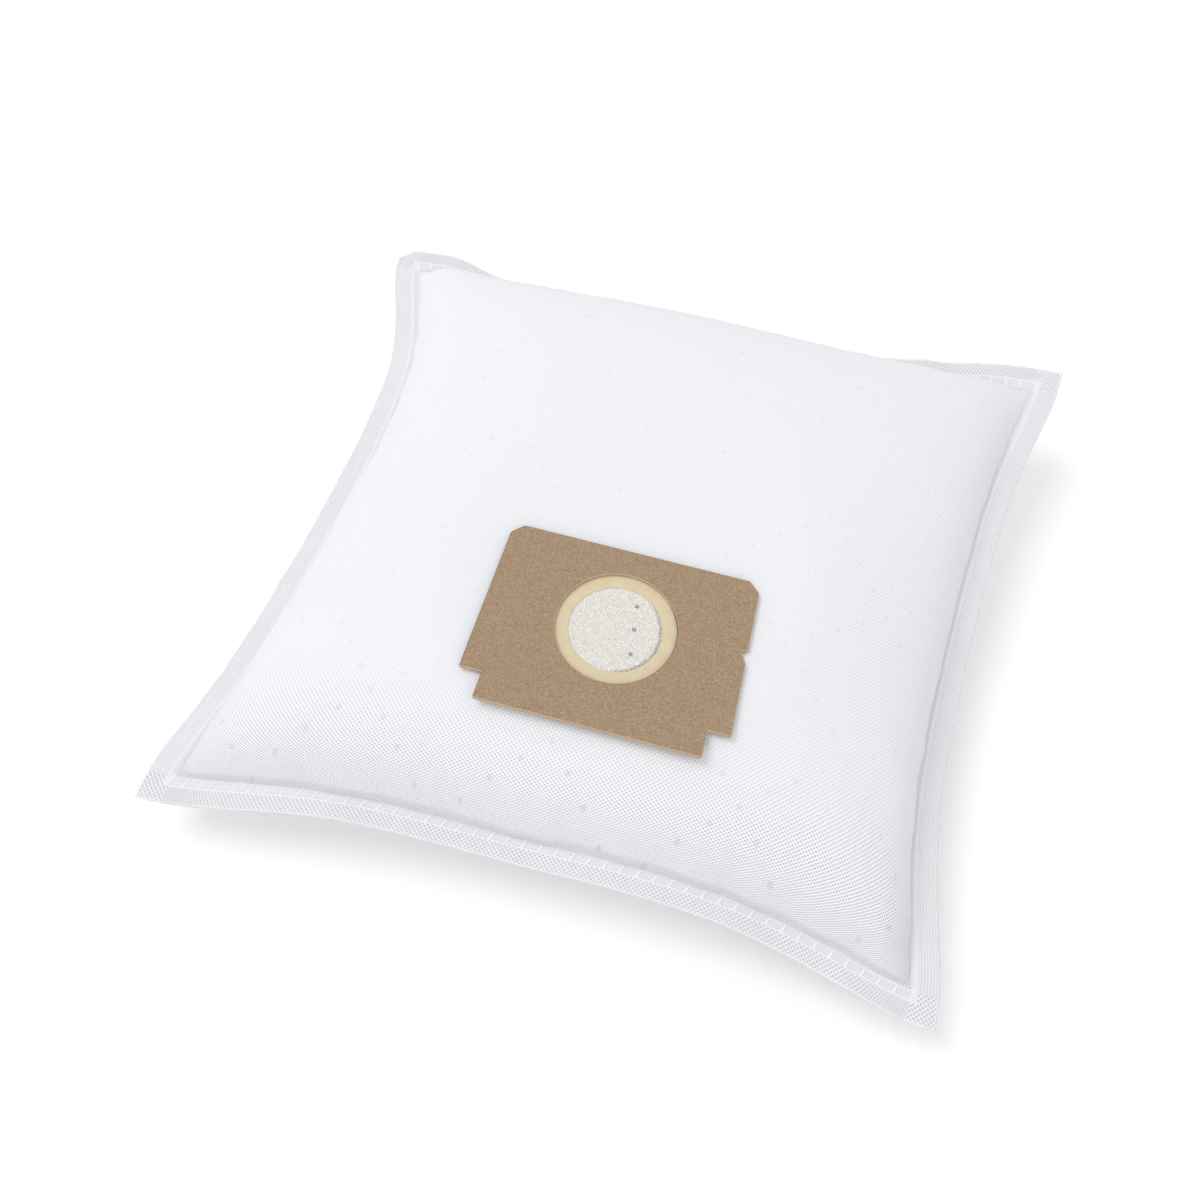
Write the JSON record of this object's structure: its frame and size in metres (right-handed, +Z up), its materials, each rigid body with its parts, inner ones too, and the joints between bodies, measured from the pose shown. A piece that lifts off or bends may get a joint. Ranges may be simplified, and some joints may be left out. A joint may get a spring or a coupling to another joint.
{
  "type": "vacuum dust bag",
  "caption": "Puffed fleece dust bag for a canister vacuum cleaner: a welded pillow with a cardboard collar plate, a rubber sealing ring and an inner flap at its inlet.",
  "frame": {"origin": "on the floor, under the middle of the box round the four ears", "axes": "+X to the right along the collar's long side, +Y from the collar towards the back of the bag, +Z up"},
  "size_m": [0.3395, 0.316, 0.0839],
  "materials": {
    "outer_fleece": "matt white spunbond fleece",
    "cardboard": "matt kraft board",
    "membrane_rubber": "matt cream rubber",
    "inner_fleece": "matt warm white fleece"
  },
  "bodies": {
    "root": {"upper_panel": "outer_fleece", "lower_panel": "outer_fleece", "collar_plate": "cardboard", "sealing_membrane": "membrane_rubber", "inlet_flap": "inner_fleece"}
  },
  "joints": []
}
